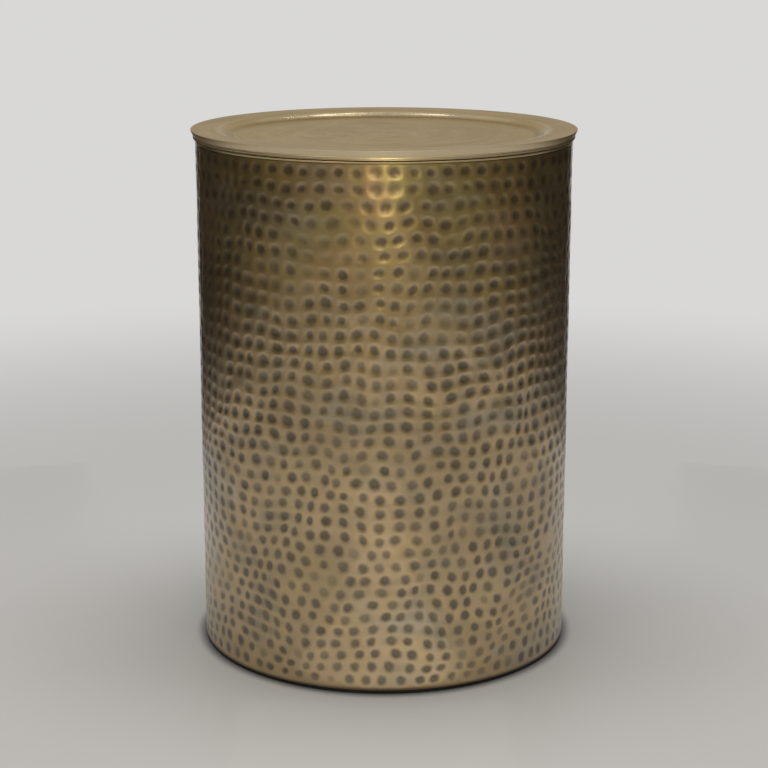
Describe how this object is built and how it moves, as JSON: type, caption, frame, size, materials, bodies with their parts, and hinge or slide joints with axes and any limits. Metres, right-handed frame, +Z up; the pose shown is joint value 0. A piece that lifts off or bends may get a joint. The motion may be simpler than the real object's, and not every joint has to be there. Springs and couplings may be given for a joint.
{
  "type": "drum side table",
  "caption": "Round drum side table of hammered sheet metal with a recessed tray top, a rolled rim and a thin black ring under the wall.",
  "frame": {"origin": "the middle of the foot, on the floor", "axes": "+Z up along the drum's axis, -Y towards the front, with the wall's seam at the back on +Y, +X to the right"},
  "size_m": [0.3633, 0.3634, 0.4975],
  "materials": {
    "hammered_brass": "hammered sheet with a lacquered antique brass finish",
    "brushed_brass": "spun sheet, brushed in circles, lacquered antique brass finish",
    "black_plastic": "matt moulded black",
    "felt": "pressed felt",
    "bar_steel": "satin black lacquer on flat bar",
    "zinc_steel": "zinc plated",
    "black_screws": "black oxide"
  },
  "bodies": {
    "root": {"top_tray": "brushed_brass", "body_shell": "hammered_brass", "seam_strap": "bar_steel", "top_gasket": "felt", "top_hoop": "bar_steel", "bottom_hoop": "bar_steel", "brace_bar_long": "bar_steel", "brace_bar_back": "bar_steel", "brace_bar_front": "bar_steel", "tab_right": "bar_steel", "tab_back": "bar_steel", "tab_left": "bar_steel", "tab_front": "bar_steel", "tab_bolts": "zinc_steel", "tab_washers": "zinc_steel", "tab_nuts": "zinc_steel", "tray_studs": "zinc_steel", "stud_washers": "zinc_steel", "stud_nuts": "zinc_steel", "base_ring": "black_plastic", "base_ring_screws": "black_screws"}
  },
  "joints": []
}
